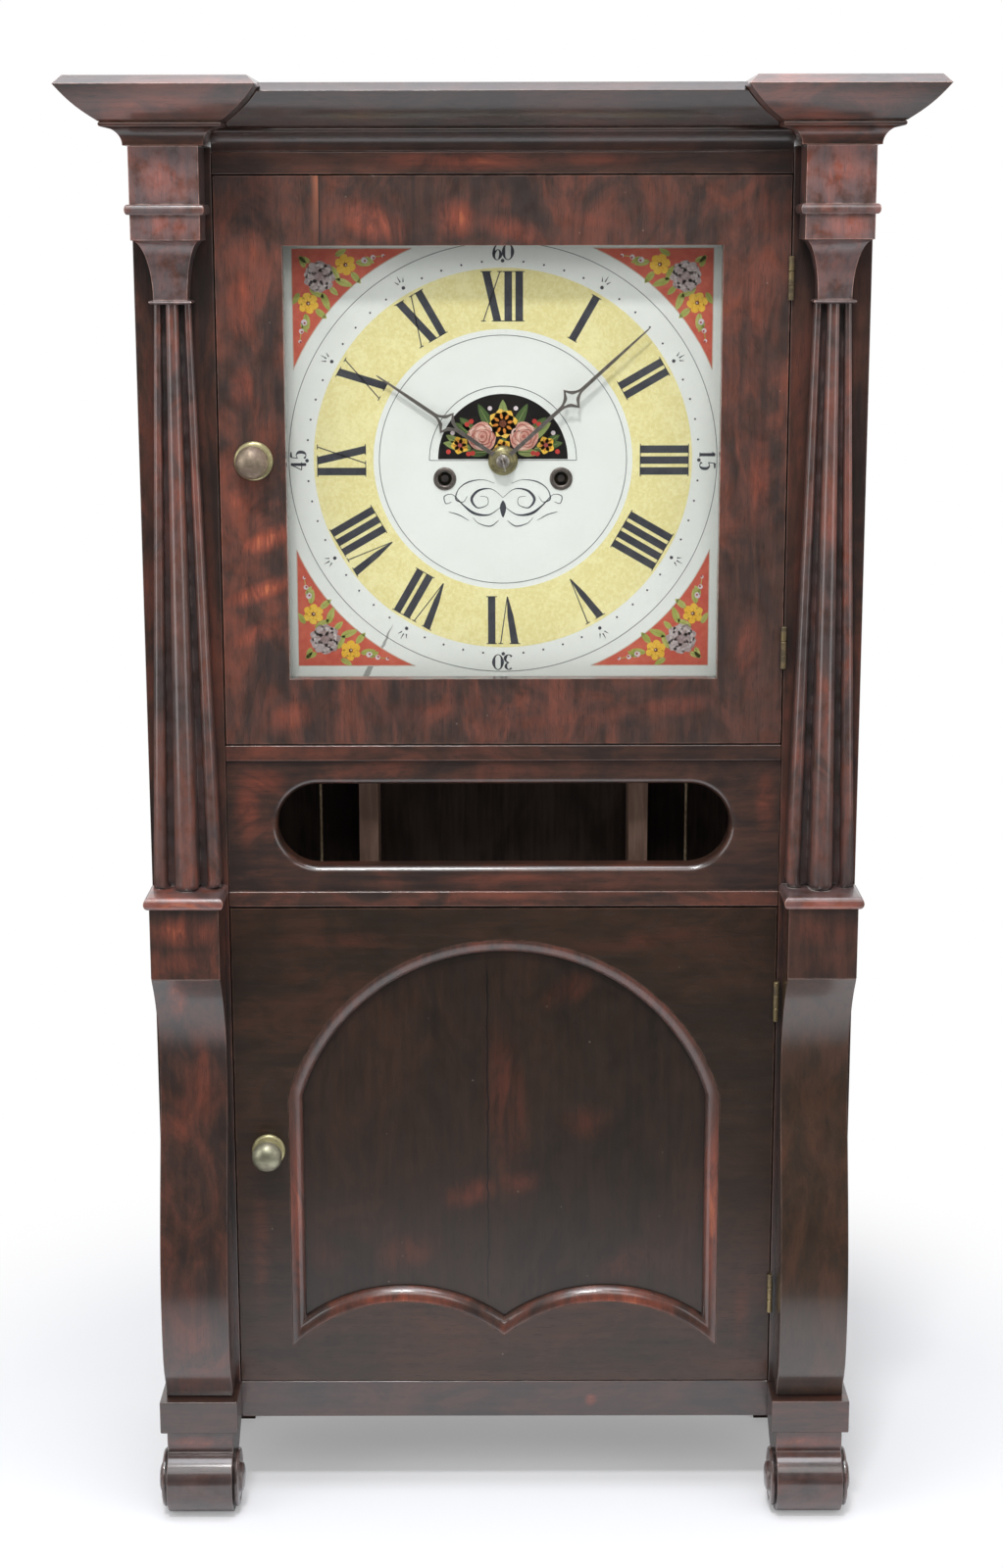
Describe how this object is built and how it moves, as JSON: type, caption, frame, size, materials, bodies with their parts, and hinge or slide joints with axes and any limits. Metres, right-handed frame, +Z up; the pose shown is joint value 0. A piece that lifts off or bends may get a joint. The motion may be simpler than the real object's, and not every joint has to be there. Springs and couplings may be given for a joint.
{
  "type": "weight-driven shelf clock",
  "caption": "Tall mahogany shelf clock with breakfront cornice, reeded columns, scroll pilasters, glazed dial door over an arched panel door, driven by weights on cords.",
  "frame": {"origin": "on the floor, under the middle of the clock's bounding box", "axes": "+X to the right seen from the front, +Z up, the dial faces -Y"},
  "size_m": [0.576, 0.2384, 1.0236],
  "materials": {
    "mahogany": "waxed dark mahogany veneer, worn at the arrises",
    "pine": "unfinished softwood, darkened with age",
    "brass": "aged brass",
    "steel": "dull grey-brown steel",
    "iron": "cast iron",
    "cord": "twisted tan cord",
    "dial_paint": "painted dial on a thin wooden board",
    "glass": "clear window glass",
    "bronze": "cast bell metal"
  },
  "bodies": {
    "case": {"backboard": "pine", "base_rail": "mahogany", "bell": "bronze", "bottom_board": "pine", "capital_left": "mahogany", "capital_right": "mahogany", "case_side_left": "mahogany", "case_side_right": "mahogany", "column_left": "mahogany", "column_right": "mahogany", "cord_fall_strike": "cord", "cord_fall_time": "cord", "cord_lead_strike": "cord", "cord_lead_time": "cord", "cornice_block_left": "mahogany", "cornice_block_right": "mahogany", "cornice_centre": "mahogany", "dial_board": "dial_paint", "front_foot_left": "mahogany", "front_foot_right": "mahogany", "front_stile_left": "mahogany", "front_stile_right": "mahogany", "lower_middle_rail": "mahogany", "movement_back_plate": "brass", "movement_front_plate": "brass", "opening_panel": "mahogany", "partition_left": "pine", "partition_right": "pine", "scroll_pilaster_left": "mahogany", "scroll_pilaster_right": "mahogany", "top_board": "pine", "top_rail": "mahogany", "upper_middle_rail": "mahogany", "winding_grommet_strike": "brass", "winding_grommet_time": "brass"},
    "hour_hand": {"hour_hand": "steel", "hour_wheel": "brass"},
    "minute_hand": {"minute_hand": "steel", "centre_arbor": "steel"},
    "minute_wheel": {"minute_wheel": "brass"},
    "time_great_wheel": {"time_great_wheel": "brass"},
    "escape_wheel": {"escape_wheel": "brass"},
    "verge": {"verge": "steel"},
    "pendulum": {"pendulum_rod": "steel", "pendulum_bob": "brass"},
    "strike_hammer": {"strike_hammer": "steel"},
    "time_drum": {"time_drum": "brass"},
    "strike_drum": {"strike_drum": "brass"},
    "weight_time": {"weight_time": "iron"},
    "weight_strike": {"weight_strike": "iron"},
    "pulley_time": {"pulley_time": "brass"},
    "pulley_strike": {"pulley_strike": "brass"},
    "upper_door": {"upper_door_frame": "mahogany", "upper_door_glass": "glass"},
    "upper_door_knob": {"upper_door_knob": "brass"},
    "lower_door": {"lower_door_frame": "mahogany", "lower_door_panel": "mahogany", "lower_door_moulding": "mahogany"},
    "lower_door_knob": {"lower_door_knob": "brass"}
  },
  "joints": [
    {"name": "upper_door_hinge", "type": "hinge", "parent": "case", "child": "upper_door", "pos_m": [0.195, -0.04805, 0.573], "axis": [0, 0, 1], "range_deg": [0, 90]},
    {"name": "lower_door_hinge", "type": "hinge", "parent": "case", "child": "lower_door", "pos_m": [0.195, -0.04805, 0.092], "axis": [0, 0, 1], "range_deg": [0, 90]},
    {"name": "upper_door_knob_turn", "type": "hinge", "parent": "upper_door", "child": "upper_door_knob", "pos_m": [-0.171, -0.04575, 0.771], "axis": [0, 1, 0], "range_deg": [0, 90]},
    {"name": "lower_door_knob_turn", "type": "hinge", "parent": "lower_door", "child": "lower_door_knob", "pos_m": [-0.171, -0.04575, 0.272], "axis": [0, 1, 0], "range_deg": [0, 90]},
    {"name": "minute_hand_spin", "type": "hinge", "parent": "case", "child": "minute_hand", "pos_m": [0, -0.02375, 0.7685], "axis": [0, 1, 0], "continuous": true},
    {"name": "hour_hand_spin", "type": "hinge", "parent": "case", "child": "hour_hand", "pos_m": [0, -0.02075, 0.7685], "axis": [0, 1, 0], "continuous": true},
    {"name": "minute_wheel_spin", "type": "hinge", "parent": "case", "child": "minute_wheel", "pos_m": [0.009, 0.0039, 0.75291], "axis": [0, 1, 0], "continuous": true},
    {"name": "time_great_wheel_spin", "type": "hinge", "parent": "case", "child": "time_great_wheel", "pos_m": [-0.0406, 0.01345, 0.7557], "axis": [0, 1, 0], "continuous": true},
    {"name": "escape_wheel_spin", "type": "hinge", "parent": "case", "child": "escape_wheel", "pos_m": [0, 0.02145, 0.84], "axis": [0, 1, 0], "continuous": true},
    {"name": "pendulum_swing", "type": "hinge", "parent": "case", "child": "pendulum", "pos_m": [0, 0.08145, 0.872], "axis": [0, 1, 0], "range_deg": [-4, 4]},
    {"name": "verge_rock", "type": "hinge", "parent": "case", "child": "verge", "pos_m": [0, 0.08145, 0.872], "axis": [0, 1, 0], "range_deg": [-4, 4]},
    {"name": "strike_hammer_lift", "type": "hinge", "parent": "case", "child": "strike_hammer", "pos_m": [0.08, 0.08625, 0.8545], "axis": [0, 1, 0], "range_deg": [-1.5, 8], "stiffness_Nm_per_rad": 0.02},
    {"name": "weight_time_fall", "type": "slide", "parent": "case", "child": "weight_time", "axis": [0, 0, 1], "range_m": [0, 0.6], "deforming": ["cord_fall_time"]},
    {"name": "time_drum_wind", "type": "hinge", "parent": "case", "child": "time_drum", "pos_m": [-0.0406, 0.03995, 0.7557], "axis": [0, 1, 0], "range_deg": [0, 2040]},
    {"name": "pulley_time_turn", "type": "hinge", "parent": "case", "child": "pulley_time", "pos_m": [-0.1156, 0.03995, 0.9716], "axis": [0, 1, 0], "range_deg": [0, 1850]},
    {"name": "weight_strike_fall", "type": "slide", "parent": "case", "child": "weight_strike", "axis": [0, 0, 1], "range_m": [0, 0.6], "deforming": ["cord_fall_strike"]},
    {"name": "strike_drum_wind", "type": "hinge", "parent": "case", "child": "strike_drum", "pos_m": [0.0406, 0.03995, 0.7557], "axis": [0, 1, 0], "range_deg": [-2040, 0]},
    {"name": "pulley_strike_turn", "type": "hinge", "parent": "case", "child": "pulley_strike", "pos_m": [0.1156, 0.03995, 0.9716], "axis": [0, 1, 0], "range_deg": [-1850, 0]}
  ],
  "couplings": [
    {"joint": "hour_hand_spin", "follows": "minute_hand_spin", "ratio": 0.083333},
    {"joint": "minute_wheel_spin", "follows": "minute_hand_spin", "ratio": -0.33333},
    {"joint": "time_great_wheel_spin", "follows": "minute_hand_spin", "ratio": -0.125},
    {"joint": "verge_rock", "follows": "pendulum_swing", "ratio": 1},
    {"joint": "time_drum_wind", "follows": "weight_time_fall", "rad_per_m": 57.471},
    {"joint": "strike_drum_wind", "follows": "weight_strike_fall", "rad_per_m": -57.471},
    {"joint": "pulley_time_turn", "follows": "weight_time_fall", "rad_per_m": 51.546},
    {"joint": "pulley_strike_turn", "follows": "weight_strike_fall", "rad_per_m": -51.546}
  ]
}
